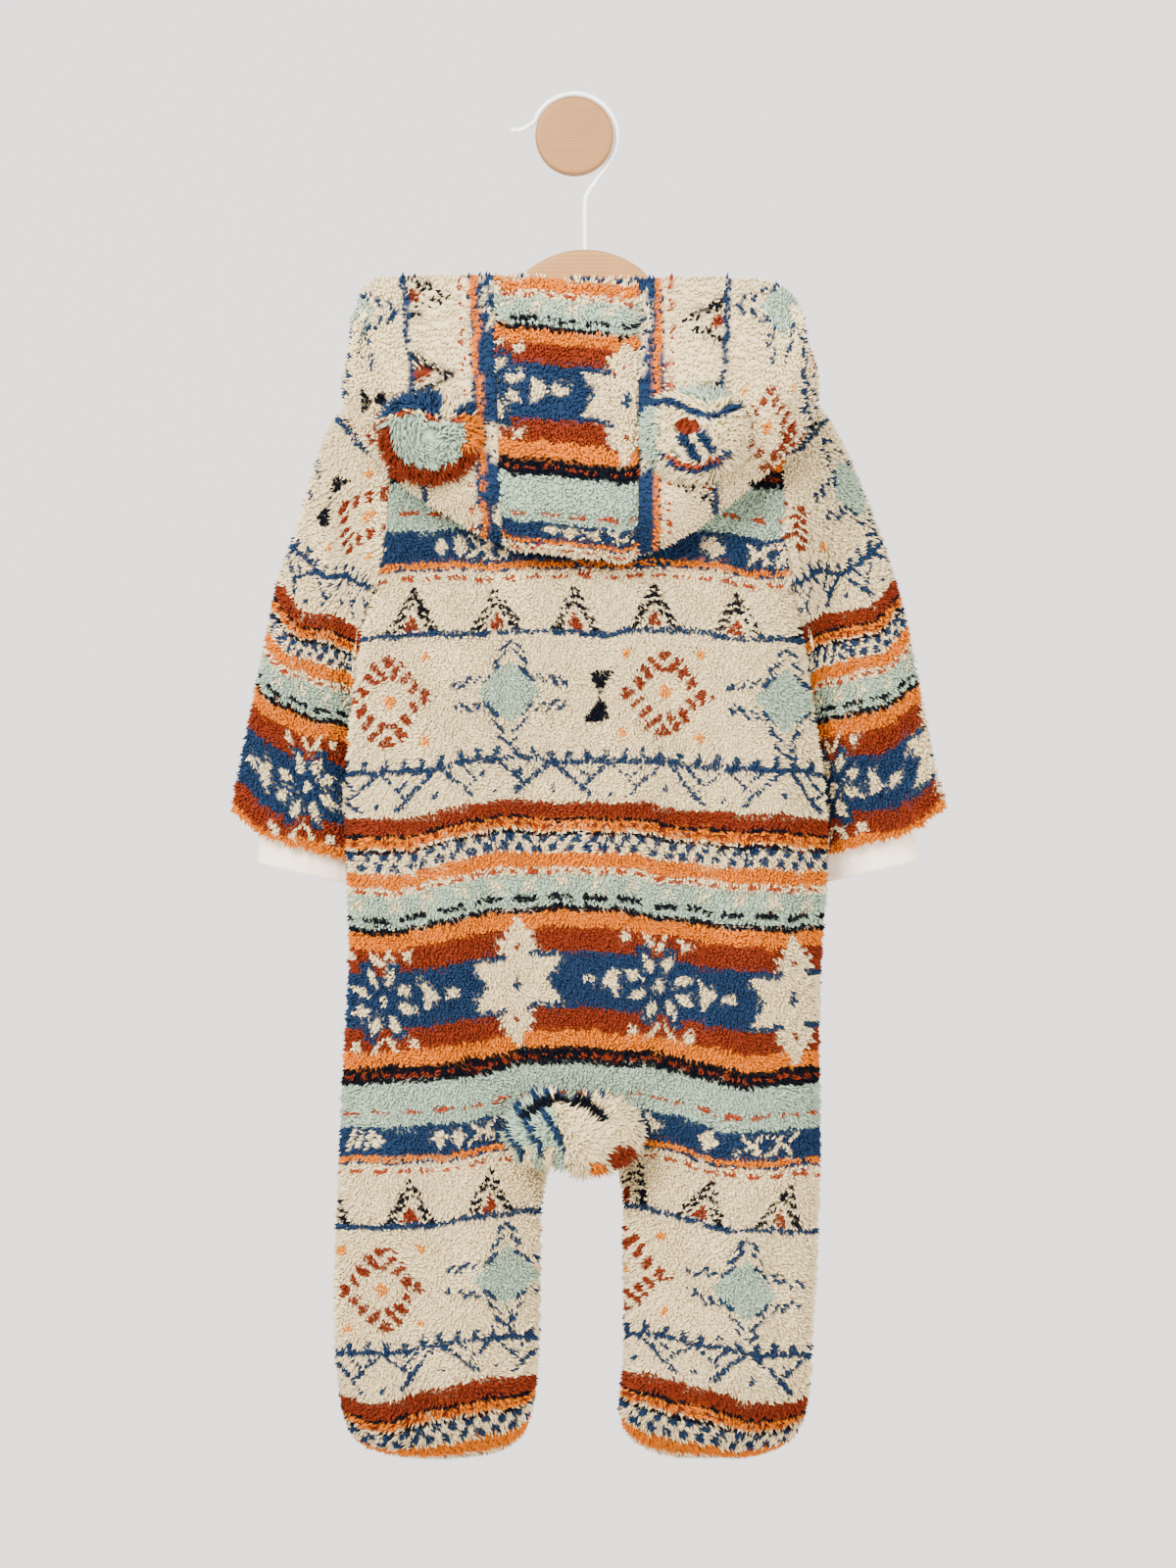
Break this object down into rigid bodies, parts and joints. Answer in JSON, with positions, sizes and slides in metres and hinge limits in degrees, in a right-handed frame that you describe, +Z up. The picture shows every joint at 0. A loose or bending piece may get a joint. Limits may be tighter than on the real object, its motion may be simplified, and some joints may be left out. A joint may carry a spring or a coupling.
{
  "type": "hooded fleece pramsuit hung on a wooden hanger and wall peg",
  "caption": "Hooded footed baby pramsuit in sherpa fleece, hung by its hanger's wire hook from a round wooden wall peg, back to the viewer.",
  "frame": {"origin": "centre of the peg's flat back face, on the wall", "axes": "+Z up, +Y into the wall, so the suit's back faces -Y and its front faces the wall; +X to the right seen from the back"},
  "size_m": [0.366, 0.1197, 0.6982],
  "materials": {
    "fleece": "curly sherpa pile, printed in bands",
    "jersey": "smooth cream jersey",
    "stud": "semi-gloss",
    "hanger_wood": "fine sanded, clear matt",
    "peg_wood": "fine sanded, clear matt",
    "wire": "white coated wire"
  },
  "bodies": {
    "root": {"back": "fleece", "front_left": "fleece", "front_right": "fleece", "sole_left": "fleece", "sole_right": "fleece", "sleeve_left": "fleece", "sleeve_right": "fleece", "hood_middle": "fleece", "hood_side_left": "fleece", "hood_side_right": "fleece", "ear_left": "fleece", "ear_right": "fleece", "tail": "fleece", "cuff_left": "jersey", "cuff_right": "jersey", "stud_1": "stud", "stud_2": "stud", "stud_3": "stud", "stud_4": "stud", "stud_5": "stud", "stud_6": "stud", "hanger": "hanger_wood", "wall_peg": "peg_wood", "hook": "wire"}
  },
  "joints": []
}
